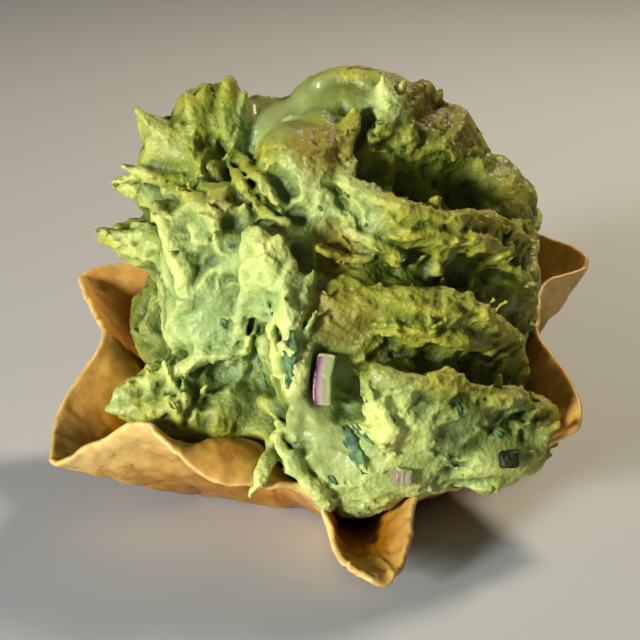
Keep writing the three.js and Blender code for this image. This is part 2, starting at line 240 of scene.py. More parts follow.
floor_shares = (0.25, 0.5, 0.75, 0.9)
lip_shares = np.linspace(0, 1, 7)[1:-1]
bottom = [bowl_ring(0, 0) * (share, share, 1) for share in floor_shares]
inner_floor = [bowl_ring(0, BOWL_WALL) * (share, share, 1) for share in reversed(floor_shares)]
outside = [bowl_ring(up, 0) for up in bowl_ups]
lip = [lip_ring(share) for share in lip_shares]
inside = [bowl_ring(up, BOWL_WALL) for up in bowl_ups[::-1]]
bowl_rings = bottom + outside + lip + inside + inner_floor
bowl_points = np.concatenate([[[0, 0, 0]], *bowl_rings, [[0, 0, BOWL_WALL]]])
bowl = new_piece("fried_tortilla", bowl_points, closed_rings(bowl_rings), "tortilla_bowl")

level_rings = [0] * len(floor_shares)
ring_ups = [*level_rings, *bowl_ups, *(1 for _ in lip_shares), *bowl_ups[::-1], *level_rings]
half_rings = len(bottom + outside)
ring_sides = [0] * half_rings + list(lip_shares.round(2)) + [1] * half_rings
keep_value(bowl, "up_the_wall", np.concatenate([[0], np.repeat(ring_ups, BOWL_COLUMNS), [0]]))
keep_value(bowl, "inner_side", np.concatenate([[0], np.repeat(ring_sides, BOWL_COLUMNS), [1]]))


def new_material(name, piece):
    """A material with its Principled shader and output, given to a piece. Returns the tree and the shader."""
    material = bpy.data.materials.new(name)
    material.use_nodes = True
    piece.data.materials.clear()
    piece.data.materials.append(material)
    tree = material.node_tree
    return tree, tree.nodes["Principled BSDF"]


def add(tree, kind, values=None, **settings):
    """A shader node with its settings, and with its inputs set by name or number, or linked from a socket."""
    node = tree.nodes.new(kind)
    for key, value in settings.items():
        setattr(node, key, value)
    for key, value in (values or {}).items():
        if isinstance(value, bpy.types.NodeSocket):
            tree.links.new(value, node.inputs[key])
        else:
            node.inputs[key].default_value = value
    return node


def blend(tree, share, under, over, how="MIX"):
    """One colour over another: `share` 0 leaves the lower one, 1 gives the upper one. Returns the socket."""
    under, over = (c if isinstance(c, bpy.types.NodeSocket) else (*c, 1) for c in (under, over))
    values = {"Factor": share, "A": under, "B": over}
    return add(tree, "ShaderNodeMix", values, data_type="RGBA", blend_type=how).outputs["Result"]


def rescale(tree, value, low, high, first, last):
    """A value from `low` to `high` made to run from `first` to `last`. Returns the socket."""
    values = {"Value": value, "From Min": low, "From Max": high, "To Min": first, "To Max": last}
    return add(tree, "ShaderNodeMapRange", values).outputs["Result"]


def reckon(tree, how, a, b):
    """Two values multiplied or added. Returns the socket."""
    return add(tree, "ShaderNodeMath", {0: a, 1: b}, operation=how).outputs["Value"]


def stored(tree, name):
    """The numbers kept under a name by keep_value. Returns the socket."""
    return add(tree, "ShaderNodeAttribute", attribute_name=name).outputs["Fac"]


def noise_in(tree, where, scale, detail, roughness=0.5):
    """Noise with `scale` bumps to the metre. Returns the node."""
    values = {"Vector": where, "Scale": scale, "Detail": detail, "Roughness": roughness}
    return add(tree, "ShaderNodeTexNoise", values)


def finish_with(tree, shader, colour, values):
    """Joins the colour to the shader, and sets or joins the shader's other inputs by name."""
    for name, value in {"Base Color": colour, **values}.items():
        if isinstance(value, bpy.types.NodeSocket):
            tree.links.new(value, shader.inputs[name])
        else:
            shader.inputs[name].default_value = value


def ramp(tree, factor, stops):
    """A colour ramp through (place, (r, g, b)) stops."""
    node = add(tree, "ShaderNodeValToRGB", {"Fac": factor})
    points = node.color_ramp.elements
    while len(points) < len(stops):
        points.new(0.5)
    for point, (place, colour) in zip(points, stops):
        point.position = place
        point.color = (*colour, 1)
    return node.outputs["Color"]


def srgb(red, green, blue):
    """A colour given as 0 to 255 screen values, as the shader wants it."""
    shares = (red / 255, green / 255, blue / 255)
    return tuple(((c + 0.055) / 1.055) ** 2.4 if c > 0.04 else c / 12.92 for c in shares)


tree, shader = new_material("fried tortilla", bowl)
where = add(tree, "ShaderNodeTexCoord").outputs["Object"]
up_wall = stored(tree, "up_the_wall")
inner = stored(tree, "inner_side")
patches = noise_in(tree, where, 95, 4, 0.6)
flour = noise_in(tree, where, 420, 3, 0.65)
# the inner face is a deeper, warmer amber than the outer: painted shade and a painted warm glow, as the
# inside lies mostly in shadow
inside_tone_in_shade = ramp(tree, patches.outputs["Fac"], [
    (0.3, srgb(142, 82, 6)), (0.5, srgb(176, 114, 16)), (0.7, srgb(214, 160, 48))])
outside_tone = ramp(tree, patches.outputs["Fac"], [
    (0.3, srgb(144, 96, 32)), (0.46, srgb(182, 134, 54)), (0.62, srgb(222, 180, 96)),
    (0.8, srgb(244, 214, 138))])
# darker and browner towards the bottom: painted shade of the low wall, which faces down outside and lies deep
# in the folds inside
deep = rescale(tree, up_wall, 0.35, 0.95, 0.9, 0)
inside_low_shade = blend(tree, deep, inside_tone_in_shade, (0.62, 0.5, 0.35), "MULTIPLY")
outside_low_shade = blend(tree, deep, outside_tone, (0.72, 0.6, 0.44), "MULTIPLY")
sides = blend(tree, inner, outside_low_shade, inside_low_shade)
# paler along the rim, most of all outside: floury in patches, and a painted highlight where light catches the
# rim
rim_pale_and_lit = rescale(tree, up_wall, 0.82, 1, 0, 1.5)
flour_and_rim_light = reckon(tree, "MULTIPLY", rim_pale_and_lit, flour.outputs["Fac"])
rim_flour_and_light = reckon(tree, "MULTIPLY", flour_and_rim_light, rescale(tree, inner, 0, 1, 1, 0.4))
pale = blend(tree, rim_flour_and_light, sides, srgb(244, 212, 134))
# brown specks of uneven outline
warped = add(tree, "ShaderNodeMix", {
    "Factor": 0.01, "A": where, "B": flour.outputs["Color"]}, data_type="VECTOR")
specks = add(tree, "ShaderNodeTexVoronoi", {
    "Vector": warped.outputs["Result"], "Scale": 130, "Randomness": 1.0})
speck_share = rescale(tree, specks.outputs["Distance"], 0.1, 0.22, 0.55, 0)
speckled = blend(tree, speck_share, pale, srgb(150, 88, 30))
bump = add(tree, "ShaderNodeBump", {"Height": flour.outputs["Fac"], "Strength": 0.35, "Distance": 0.0004})
finish_with(tree, shader, speckled, {
    "Roughness": rescale(tree, patches.outputs["Fac"], 0.3, 0.7, 0.28, 0.5), "Specular IOR Level": 0.38,
    "Subsurface Weight": 0.25, "Subsurface Radius": (1.0, 0.5, 0.2), "Subsurface Scale": 0.0025,
    "Normal": bump.outputs["Normal"]})


# ---------------------------------------------------------------------------------------------------------
# Guacamole. Ripe avocado mashed with a fork, so it is part smooth and part torn, spooned into the bowl in
# heavy lumps. Where the spoon pulled away it stands up in ledges, strands and peaks. Its shape is worked out
# as a field: at each place of an even grid, the distance from the surface, which is negative in the mash.
# ---------------------------------------------------------------------------------------------------------

MASH_CELL = 0.5
MASH_BAND = 5.0
MASH_MARGIN = 8  # room round the heap for its tips
BOWL_BAND = 4.0
MASH_OFF_WALL = 0.25  # room left between the mash and the bowl's wall

# Crest lines of the torn mash as they run across the frame: (u, v) points, how wide the rise is, how high it
# stands and how many small torn tips stand along it
CRESTS = {
    "upper ledge": ([(343, 188), (370, 198), (400, 211), (440, 220), (485, 224), (530, 238)], 4.0, 2.4, 22),
    "fold on its face": ([(395, 236), (430, 232), (470, 240), (510, 254)], 3.0, 1.6, 12),
    "lower edge of its face": ([(350, 232), (385, 248), (410, 262), (440, 270)], 3.0, 1.8, 12),
    "middle ledge": ([(362, 300), (400, 297), (450, 300), (484, 318), (515, 345)], 4.0, 2.0, 20),
    "fold on the middle ledge": ([(370, 325), (410, 330), (455, 338), (495, 352)], 3.0, 1.3, 10),
    "lower ledge": ([(366, 378), (400, 384), (450, 386), (500, 402), (556, 412)], 4.0, 2.2, 20),
    "left end of the lower ledge": ([(372, 384), (386, 420), (392, 455)], 4.0, 2.0, 6),
    "fold on the lower ledge": ([(505, 392), (535, 402), (556, 424)], 3.0, 1.5, 8),
    "ridge": ([(256, 236), (274, 262), (286, 300), (297, 345), (299, 380), (294, 432)], 4.5, 1.8, 16),
    "left flank of the ridge": ([(250, 238), (247, 290), (240, 345)], 3.0, 1.6, 6),
    "edge of the left face": ([(160, 212), (172, 244), (186, 274), (188, 306)], 4.0, 2.0, 8),
    "top of the left face": ([(168, 192), (186, 196), (210, 214), (214, 236)], 3.0, 1.4, 8),
    "side of the smooth top": ([(352, 118), (342, 148), (346, 184)], 3.5, 1.8, 4),
    "crest of the smooth top": ([(320, 83), (338, 78), (358, 78), (372, 88)], 3.5, 1.2, 0),
    "edge of the dome": ([(380, 80), (391, 100), (386, 126), (362, 150)], 4.0, 2.0, 10),
    "top of the dome": ([(395, 86), (425, 90), (446, 106)], 3.0, 1.2, 8),
    "arc in the cave": ([(412, 140), (424, 172), (452, 180), (462, 160)], 3.5, 1.6, 0),
    "lower left lump": ([(112, 404), (140, 388), (172, 378), (206, 356), (236, 350)], 4.0, 2.2, 18),
    "its lower fold": ([(150, 412), (180, 404), (214, 392)], 3.5, 1.6, 8),
    "foot of the ridge": ([(262, 400), (284, 430), (312, 448)], 3.0, 1.4, 4),
    "right side": ([(500, 262), (522, 282), (532, 312)], 3.5, 1.8, 8),
}

# Hollows: (u, v), radius and depth
PITS = {
    "under the shelf": ((213, 172), 5.0, 5.0),
    "beside it": ((238, 192), 3.5, 4.0),
    "under the smooth top": ((280, 190), 5.0, 6.0),
    "below that": ((294, 214), 3.0, 3.6),
    "over the ridge": ((232, 222), 3.0, 2.4),
    "right of the ridge's head": ((302, 256), 4.0, 3.6),
    "between its tips": ((270, 296), 3.0, 2.4),
    "right of the ridge": ((330, 262), 4.0, 3.0),
    "below the upper ledge": ((420, 262), 4.5, 4.0),
    "right of that": ((462, 270), 5.0, 4.6),
    "far right": ((500, 296), 4.0, 3.4),
    "under the middle ledge": ((430, 356), 4.0, 3.0),
    "left of the onion": ((288, 345), 2.5, 1.6),
    "in the lower left lump": ((206, 388), 5.0, 3.2),
    "under the ridge": ((304, 448), 2.5, 2.4),
    "in the lower ledge": ((424, 405), 4.0, 2.0),
    "over the smooth lump": ((338, 112), 3.5, 2.4),
    "between shelf and spikes": ((176, 160), 3.5, 3.0),
    "cave": ((424, 182), 9.0, 8.5),
    "right end of the cave": ((462, 188), 8.0, 6.5),
    "left of the left face": ((160, 318), 5.0, 3.6),
    "against the bowl's left side": ((140, 312), 5.5, 4.5),
    "over the lower left tip": ((108, 392), 4.0, 4.0),
    "under the lower left tip": ((110, 427), 4.0, 3.6),
    "over the lower left lump": ((222, 372), 4.5, 4.0),
}

# Torn tips that stand out of the heap: root, tip, width at the root and how far the tip leans to the front
TIPS = {
    "long tip at the left": ((160, 236), (96, 231), 12.0, 0),
    "its lower half": ((156, 252), (114, 250), 10.0, 0),
    "hook": ((170, 180), (122, 166), 11.0, 0),
    "hook's end": ((142, 174), (111, 184), 5.0, 0),
    "upper left tip": ((186, 150), (138, 111), 14.0, 0),
    "below it": ((182, 152), (142, 140), 11.0, 0),
    "top crag 1": ((196, 116), (184, 87), 7.0, 0),
    "top crag 2": ((206, 110), (204, 77), 6.0, 0),
    "top crag 3": ((230, 108), (226, 73), 8.0, 0),
    "top crag 4": ((240, 112), (246, 91), 6.0, 0),
    "head of the ridge": ((264, 264), (259, 229), 11.0, 2),
    "head of the ridge, right": ((282, 270), (279, 238), 9.0, 2),
    "ridge, second tip": ((292, 296), (289, 266), 8.0, 2),
    "ridge, right tip": ((306, 300), (314, 268), 7.0, 2),
    "ridge, left tip": ((256, 302), (252, 274), 6.0, 2),
    "ridge, lower tip": ((308, 336), (318, 308), 6.0, 2),
    "tip on the upper ledge": ((440, 228), (438, 205), 3.0, 2),
    "tip of the middle ledge": ((378, 312), (360, 301), 4.0, 2),
    "tip of the lower ledge": ((382, 398), (366, 378), 4.0, 2),
    "horn over it": ((384, 384), (371, 364), 3.4, 1),
    "lower left tip": ((138, 406), (101, 410), 8.0, 0),
    "lower left crag 1": ((152, 388), (145, 361), 6.0, 1),
    "lower left crag 2": ((170, 386), (164, 363), 5.0, 1),
    "lower left crag 3": ((194, 374), (198, 350), 6.0, 1),
    "lower left crag 4": ((134, 400), (122, 386), 4.0, 1),
    "dome crag": ((388, 112), (382, 78), 12.0, 3),
    "dome crag, right": ((400, 104), (404, 82), 8.0, 2),
    "right crag": ((505, 420), (512, 396), 4.0, 1),
    "low right tip": ((540, 446), (560, 420), 6.0, 0),
    "small tip": ((332, 300), (322, 290), 2.6, 2),
    "end of the strand over the rim": ((257, 480), (249, 498), 4.2, 0),
}

# Strands that hang across the mash: (u, v) points and thickness
STRANDS = {
    "over the pits": ([(203, 150), (222, 157), (244, 166), (264, 178), (282, 206)], 3.0),
    "down into the pit": ([(228, 164), (240, 186), (262, 210), (290, 228)], 2.2),
    "over the rim": ([(282, 436), (270, 452), (262, 468), (256, 484)], 4.0),
    "along the rim": ([(286, 446), (298, 462), (314, 480), (326, 494), (334, 503)], 4.2),
    "down the ridge": ([(268, 300), (280, 350), (290, 400)], 2.0),
    "across the trough": ([(318, 250), (345, 262), (378, 256)], 2.2),
}

# Where the mash is smooth and shiny, as the spoon left it: (u, v), radius and how smooth
SMOOTH = {
    "smooth top": ((314, 92), 8, 1.0),
    "its left end": ((292, 98), 7, 1.0),
    "its right end": ((360, 98), 5, 0.7),
    "saddle": ((262, 108), 8, 1.0),
    "below the saddle": ((282, 126), 6, 0.8),
    "side of the smooth top": ((318, 118), 7, 0.5),
    "smear on the foot": ((306, 418), 7, 0.8),
    "smear, lower": ((338, 452), 7, 0.7),
}


def points_of(mesh):
    """A mesh's points in millimetres."""
    flat = np.empty(len(mesh.vertices) * 3)
    mesh.vertices.foreach_get("co", flat)
    return flat.reshape(-1, 3) / MM


def normals_of(mesh):
    """The way out of a mesh at each of its points."""
    flat = np.empty(len(mesh.vertices) * 3)
    mesh.vertex_normals.foreach_get("vector", flat)
    return flat.reshape(-1, 3)


def crests(points, size, seed=0, octaves=3, fade=0.55):
    """1 along sharp crest lines about `size` apart, falling to -1 in the hollows between them."""
    total = sum(
        fade**k * (1 - 3.2 * np.abs(noise(points * 2**k / size + 9.1 * k, seed + k))) for k in range(octaves))
    return total / sum(fade**k for k in range(octaves))


def field_from(points, faces, cell, band):
    """A closed shape as a grid of openvdb: distances from its surface, up to `band` on both sides."""
    return openvdb.FloatGrid.createLevelSetFromPolygons(
        np.asarray(points, np.float32), triangles=np.asarray(faces, np.uint32),
        transform=openvdb.createLinearTransform(voxelSize=cell), halfWidth=band / cell)


def skin_of(field, corner, cell, adaptivity=0.0):
    """Points and faces of the surface where a field is nought, with its faces looking out."""
    grid = openvdb.FloatGrid(float(field.max()))
    grid.copyFromArray(field, ijk=tuple(int(c) for c in corner))
    grid.transform = openvdb.createLinearTransform(voxelSize=cell)
    points, triangles, quads = grid.convertToPolygons(isovalue=0.0, adaptivity=adaptivity)
    faces = [tuple(face) for face in triangles.tolist() + quads.tolist()]
    return points.astype(float), faces


def blurred(field, reach, times=3):
    """A field averaged `times` over boxes that go `reach` cells to each side: nearly a soft round blur."""
    for _ in range(times):
        for axis in range(3):
            edges = [(reach + 1, reach) if a == axis else (0, 0) for a in range(3)]
            padded = np.pad(field, edges, mode="edge")
            sums = np.cumsum(padded, axis=axis, dtype=np.float64)
            count = field.shape[axis]
            ahead = np.take(sums, range(2 * reach + 1, 2 * reach + 1 + count), axis=axis)
            field = ((ahead - np.take(sums, range(count), axis=axis)) / (2 * reach + 1)).astype(np.float32)
    return field


def sampled(field, corner, cell, points):
    """A field's value at any points, by straight steps between the places of the grid."""
    at = points / cell - corner
    low = np.clip(np.floor(at).astype(int), 0, np.array(field.shape) - 2)
    part = np.clip(at - low, 0, 1)
    total = np.zeros(len(points))
    for step in itertools.product((0, 1), repeat=3):
        share = np.prod(np.where(np.array(step) == 1, part, 1 - part), axis=1)
        i, j, k = (low + step).T
        total += share * field[i, j, k]
    return total


def sight_line(u, v):
    """Direction from the eye through the point (u, v) of the square frame, which is FRAME_PIXELS wide."""
    half = FRAME_PIXELS / 2
    side = Vector((1, 0, 0))
    up = side.cross(-to_camera)
    reach = VIEW_DISTANCE / MM_PER_PIXEL
    return (-to_camera * reach + side * (u - half) + up * (half - v)).normalized()


# how far from the eye the heap is looked for beside a sight line that misses it
HEAP_REACHES = range(340, 460, 3)


def on_heap(tree, u, v):
    """The place on a surface that shows at (u, v), or the nearest to that sight line, and its way out."""
    way = sight_line(u, v)
    place, out = tree.ray_cast(eye, way)[:2]
    if place is None:
        tried = [tree.find_nearest(eye + way * reach) for reach in HEAP_REACHES]
        place, out = min(tried, key=lambda found: found[3])[:2]
    return np.array(place), np.array(out)


def polyline(tree, marks, step):
    """Places on the heap every `step` along a line of (u, v) marks, each with its way out."""
    found = [on_heap(tree, *mark) for mark in marks]
    places, outs = [], []
    for (a, out_a), (b, out_b) in zip(found, found[1:]):
        count = max(1, round(np.linalg.norm(b - a) / step))
        for k in range(count):
            places.append(a + (b - a) * k / count)
            outs.append(out_a + (out_b - out_a) * k / count)
    return np.array(places), np.array(outs) / np.linalg.norm(outs, axis=1)[:, None]


def around(low, high):
    """The part of the mash's grid between two corners in millimetres: its slices and its places."""
    first = np.clip(np.floor(low / MASH_CELL).astype(int) - mash_corner, 0, np.array(mash_field.shape) - 1)
    last = np.clip(np.ceil(high / MASH_CELL).astype(int) + 1 - mash_corner, 1, np.array(mash_field.shape))
    part = tuple(slice(a, b) for a, b in zip(first, last))
    places = np.stack(np.meshgrid(*(np.arange(a, b) for a, b in zip(first, last)), indexing="ij"), axis=-1)
    return part, (places + mash_corner) * MASH_CELL


def merge(part, distance, soften):
    """Adds a shape to the mash where it is given by its distances, with a fillet about `soften` wide."""
    old = mash_field[part]
    share = np.clip(0.5 + 0.5 * (old - distance) / soften, 0, 1)
    mash_field[part] = old * (1 - share) + distance * share - soften * share * (1 - share)


HORN_RAG_SIZE = 3.4


def add_horn(root, tip, wide, thin, soften=0.8, blunt=0.25, ragged=0.0):
    """Adds a torn horn that tapers from root to tip, `wide` one way across and `thin` the other."""
    along = tip - root
    length = np.linalg.norm(along)
    along = along / length
    level = np.cross(along, (0, 0.15, 1))
    level = level / np.linalg.norm(level)
    square = np.cross(level, along)
    reach = max(wide, thin)
    part, places = around(np.minimum(root, tip) - reach, np.maximum(root, tip) + reach)
    if 0 in places.shape:
        return
    off = places - root
    t = np.clip(off @ along / length, 0, 1)
    taper = 1 - (1 - blunt) * t**1.3
    flat = np.sqrt((off @ level) ** 2 + (off @ square * wide / thin) ** 2 + (off @ along - t * length) ** 2)
    if ragged:
        flat += ragged * layered(places.reshape(-1, 3), HORN_RAG_SIZE, 2, seed=64).reshape(flat.shape)
    merge(part, (flat - wide / 2 * taper) * (0.5 + 0.5 * thin / wide), soften)


# middles of the onion and chilli bits, which the mash leaves in sight, and how far crests and tufts keep off
BITS = [(0.9, -40, 40.7), (1.7, -38.6, 44), (0, -41, 37), (17.6, -46.8, 21.1), (40.6, -42.6, 23.2)]
CREST_KEEPS_OFF = 5.5
TUFT_KEEPS_OFF = 6.5

# the heap as built, with its flat facets rounded off
cad_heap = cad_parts["guacamole"].data
cad_faces = [tuple(face.vertices) for face in cad_heap.polygons]
cad_grid = field_from(points_of(cad_heap), cad_faces, MASH_CELL, MASH_BAND)
lowest, highest = (np.array(c) for c in cad_grid.evalActiveVoxelBoundingBox())
margin = round(MASH_MARGIN / MASH_CELL)
mash_corner = lowest - margin
mash_field = np.empty(highest - lowest + 2 * margin + 1, np.float32)
cad_grid.copyToArray(mash_field, ijk=tuple(int(c) for c in mash_corner))
mash_field = blurred(mash_field, 2)

bowl_faces = []
for face in closed_rings(bowl_rings):
    bowl_faces += [face[:3]] if len(face) == 3 else [face[:3], (face[0], face[2], face[3])]
bowl_grid = field_from(bowl_points, bowl_faces, MASH_CELL, BOWL_BAND)
bowl_field = np.empty(mash_field.shape, np.float32)
bowl_grid.copyToArray(bowl_field, ijk=tuple(int(c) for c in mash_corner))

heap_skin = skin_of(mash_field, mash_corner, MASH_CELL, 0.3)
heap_tree = BVHTree.FromPolygons(*heap_skin)
whole_tree = BVHTree.FromPolygons(
    [*heap_skin[0].tolist(), *bowl_points.tolist()],
    [*heap_skin[1], *(tuple(c + len(heap_skin[0]) for c in face) for face in bowl_faces)])

# crests and hollows
CREST_LEAN = (0.28, 0.25)  # share of a crest's height that goes out of the heap, and upwards
CREST_SWAY, CREST_SWAY_SIZE = 0.5, 6
PIT_RAGGED, PIT_RAG_SIZE = 0.5, 5
chance = np.random.default_rng(7)
tufts = []
for marks, wide, high, count in CRESTS.values():
    places, outs = polyline(heap_tree, marks, 0.8)
    aside = np.cross(outs, (0.3, 0.1, 1))
    sway = CREST_SWAY * wide * layered(places, CREST_SWAY_SIZE, 2, seed=66)[:, None] * aside
    lean = (outs * CREST_LEAN[0] + (0, 0, CREST_LEAN[1])) * high
    lift = places + sway + lean * chance.uniform(0.3, 1.2, (len(places), 1))
    for a, b in zip(lift, lift[1:]):
        here = wide * chance.uniform(0.42, 0.7)
        if min(np.linalg.norm(a - middle) for middle in BITS) > CREST_KEEPS_OFF:
            add_horn(a, b, here, here * 0.7, 2.0, 0.95)
    for pick in chance.integers(0, len(places), count):
        tufts.append((places[pick], outs[pick]))
for mark, wide, deep in PITS.values():
    place = on_heap(heap_tree, *mark)[0]
    part, places = around(place - wide * 1.6, place + wide * 1.6)
    off = places - place
    gap = np.sqrt(np.sum(off**2, axis=-1)) / wide
    ragged = 1 + PIT_RAGGED * layered(places.reshape(-1, 3), PIT_RAG_SIZE, 3, seed=62).reshape(gap.shape)
    mash_field[part] += deep * np.clip(1 - (gap * ragged) ** 2, 0, 1) ** 1.3

# torn tips, tufts and strands
for root_mark, tip_mark, wide, front in TIPS.values():
    root, out = on_heap(whole_tree, *root_mark)
    way = sight_line(*tip_mark)
    depth = (Vector(root) - eye).dot(-to_camera) - front
    tip = np.array(eye + way * (depth / way.dot(-to_camera)))
    along = (tip - root) / np.linalg.norm(tip - root)
    add_horn(root - along * wide * 0.4 - out * wide * 0.2, tip - along * 0.4,
             wide, wide * 0.65, max(1.2, wide * 0.25), 0.16, 0.8)
for place, out in tufts:
    if min(np.linalg.norm(place - middle) for middle in BITS) < TUFT_KEEPS_OFF:
        continue
    size = chance.uniform(0.6, 1.2)
    way = out + (0, 0, 0.7) + chance.normal(0, 0.35, 3)
    way = way / np.linalg.norm(way)
    spot = place + chance.normal(0, 0.9, 3)
    add_horn(spot - way * 1.5, spot + way * (1.2 + 1.6 * size), 3.0 * size, 1.6 * size, 0.9, 0.3, 0.25)
for marks, wide in STRANDS.values():
    places, outs = polyline(whole_tree, marks, 1.2)
    places = places + outs * wide * 0.35
    for a, b in zip(places, places[1:]):
        here = wide * chance.uniform(0.75, 1.1)
        add_horn(a, b, here, here * 0.9, 0.7, 0.9)


def patch_share(points, marks, inner, outer, ragged=0.0):
    """How much each point lies in the marked patches: in full to `inner` radii, and not past `outer`."""
    most = np.zeros(len(points))
    for mark, wide, share in marks.values():
        gap = np.linalg.norm(points - on_heap(heap_tree, *mark)[0], axis=1)
        if ragged:
            gap += ragged * wide * layered(points, wide / 2, 2, seed=81)
        most = np.maximum(most, share * smoothstep(wide * outer, wide * inner, gap))
    return most


# the places near the surface, which are the ones that the torn relief is worked out for
RELIEF_DEPTH = 3.2
BIT_REACH = 3
near = np.abs(mash_field) < RELIEF_DEPTH
at = (np.argwhere(near) + mash_corner) * MASH_CELL
smooth = patch_share(at, SMOOTH, 0.6, 1.15)
by_bits = np.min([np.linalg.norm(at - middle, axis=1) for middle in BITS], axis=0) - BIT_REACH
room = smoothstep(0.3, 2.5, bowl_field[near]) * smoothstep(0, 4, by_bits) * (1 - 0.9 * smooth)

# Torn folds, one above the other: each swells out as it goes up and breaks off at a sharp crest. They lie
# level on the right of the heap and stand upright on its left.
FOLDS = ((10.0, 2.3, 0.45, 31), (4.4, 1.2, 0.8, 44))  # size, height, how crooked, seed
LEVEL_CLIMB, UPRIGHT_CLIMB = (0.15, -0.25, 1.0), (-0.85, -0.3, 0.35)  # the way from fold to fold
CRUMB_HEIGHT, CRUMB_SIZE = 0.55, 3.8
SOFTENED = 0.2
FINE_HEIGHT = 0.2
upright = smoothstep(4, -10, at[:, 0] + 4 * layered(at, 12, 2, seed=30))
relief = np.zeros(len(at))
for size, high, crooked, seed in FOLDS:
    warp = np.stack([layered(at, size, 2, seed=seed + s) for s in (1, 2, 3)], axis=1) * size * crooked
    drift = 1.1 * layered(at, size * 2.4, 2, seed=seed + 5)
    torn = 0.15 + 0.85 * smoothstep(-0.25, 0.3, layered(at, size * 1.6, 2, seed=seed + 7))
    for climb, part in ((UPRIGHT_CLIMB, upright), (LEVEL_CLIMB, 1 - upright)):
        phase = (at + warp) @ np.array(climb) / size + drift
        share = phase - np.floor(phase)
        relief += part * torn * high * (share**1.4 * smoothstep(1.0, 0.88, share) - 0.4)
crumbled = smoothstep(-0.3, 0.3, layered(at, 11, 2, seed=55))
relief += CRUMB_HEIGHT * crests(at, CRUMB_SIZE, seed=51, octaves=2) * crumbled
mash_field[near] -= room * relief
mash_field = (1 - SOFTENED) * mash_field + SOFTENED * blurred(mash_field, 1, 1)
fine = FINE_HEIGHT * layered(at, 2.2, 2, seed=58) + FINE_HEIGHT * layered(at, 1.2, 1, seed=59)
mash_field[near] -= room * fine

# nothing of it enters the bowl's wall
mash_field = np.maximum(mash_field, MASH_OFF_WALL - bowl_field)

heap_points, heap_faces = skin_of(mash_field, mash_corner, MASH_CELL)


def largest_body(points, faces):
    """The largest of the loose bodies that faces make up."""
    corners = np.array([(f[0], f[1], f[2], f[-1]) for f in faces])
    name = np.arange(len(points))
    while True:
        lowest_name = name[corners].min(axis=1)
        new = name.copy()
        np.minimum.at(new, corners.ravel(), np.repeat(lowest_name, 4))
        new = new[new]
        if np.array_equal(new, name):
            break
        name = new
    kept = name == np.bincount(name).argmax()
    order = np.cumsum(kept) - 1
    keep_faces = kept[corners[:, 0]]
    return points[kept], [tuple(order[list(face)].tolist()) for face, keep in zip(faces, keep_faces) if keep]


heap_points, heap_faces = largest_body(heap_points, heap_faces)
mash = new_piece("mashed_avocado", heap_points, heap_faces, "guacamole")
heap_normals = normals_of(mash.data)
heap_tree = BVHTree.FromPolygons(heap_points.tolist(), heap_faces)

# how much of the room round each point is mash: little on a crest, much in a hollow. It is kept for painted
# shade in the hollows and painted light on the crests.
filled = np.clip(0.5 - mash_field / MASH_CELL, 0, 1)
for name, reach, spread in (("relief", 1.3, 0.16), ("broad", 4.0, 0.22)):
    cells = max(1, round(reach / MASH_CELL / 1.7))
    share = sampled(blurred(filled, cells), mash_corner, MASH_CELL, heap_points)
    keep_value(mash, name, np.clip(0.5 + (0.5 - share) / spread / 2, 0, 1))
keep_value(mash, "smooth", patch_share(heap_points, SMOOTH, 0.6, 1.15))

# The mash's tones in marked patches: (u, v), radius and share. Golden brown where it has dried, which also
# holds painted warm light and painted shade; fresh green where it was turned over last and where it faces the
# key lamp, and darker olive elsewhere, partly its age and partly painted shade; paler with painted light;
# darker with painted shade.
# golden brown: dried avocado, with painted warm light from behind and painted shade on the dome and in the
# trough
DRIED_AND_WARM_LIT = {
    "gold under the smooth top": ((318, 140), 8, 1.0),
    "dome": ((432, 96), 9, 0.9),
    "right of the dome": ((466, 118), 8, 0.8),
    "ledge": ((486, 228), 5, 0.6),
    "trough": ((335, 246), 6, 0.8),
    "trough, lower": ((340, 316), 8, 0.7),
}
# fresh green where it was turned over last and where it faces the key lamp; the rest goes darker olive,
# partly its age and partly painted shade
FRESH_AND_LIT = {
    "left face": ((205, 285), 20, 1.0),
    "left face, lower": ((205, 340), 17, 1.0),
    "left side": ((162, 290), 13, 0.7),
    "left side, lower": ((160, 330), 12, 0.5),
    "head of the ridge": ((264, 270), 9, 0.8),
    "ridge": ((278, 320), 12, 1.0),
    "ridge, lower": ((285, 375), 13, 1.0),
    "foot": ((310, 425), 14, 1.0),
    "over the low fold": ((345, 465), 15, 1.0),
    "left end of the lower ledge": ((392, 430), 11, 1.0),
    "under the lower ledge": ((440, 475), 17, 0.9),
    "face of the lower ledge": ((500, 455), 13, 0.5),
    "strands over the rim": ((264, 468), 9, 1.0),
    "upper left tips": ((152, 130), 9, 0.3),
    "long tip at the left": ((122, 236), 8, 0.7),
    "hook": ((136, 180), 7, 0.6),
    "saddle": ((268, 125), 9, 0.8),
    "slope under the smooth top": ((312, 190), 11, 0.8),
    "left end of the upper ledge": ((350, 218), 8, 0.7),
    "dome crag": ((386, 96), 6, 0.9),
    "lower left crags": ((150, 372), 6, 0.7),
    "lower left tip": ((112, 408), 6, 0.7),
}
# painted light: paler where light falls full on the mash's edges and crests
PAINTED_LIGHT = {
    "left end of the lower ledge": ((386, 424), 7, 1.0),
    "below it": ((402, 448), 6, 0.7),
    "over the low fold": ((345, 478), 10, 0.5),
    "head of the ridge": ((266, 262), 6, 0.6),
    "crest of the ridge": ((284, 316), 6, 0.5),
    "strands over the rim": ((260, 470), 7, 0.6),
}
# painted shade: darker where the mash lies in shadow
PAINTED_SHADE = {
    "left side": ((142, 306), 9, 0.9),
    "left side, lower": ((146, 336), 9, 0.8),
    "right of the lower left lump": ((226, 404), 7, 0.5),
    "face of the lower ledge": ((468, 424), 9, 0.5),
    "its right end": ((520, 432), 9, 0.6),
    "dome": ((446, 132), 9, 0.5),
    "trough": ((345, 340), 6, 0.5),
}
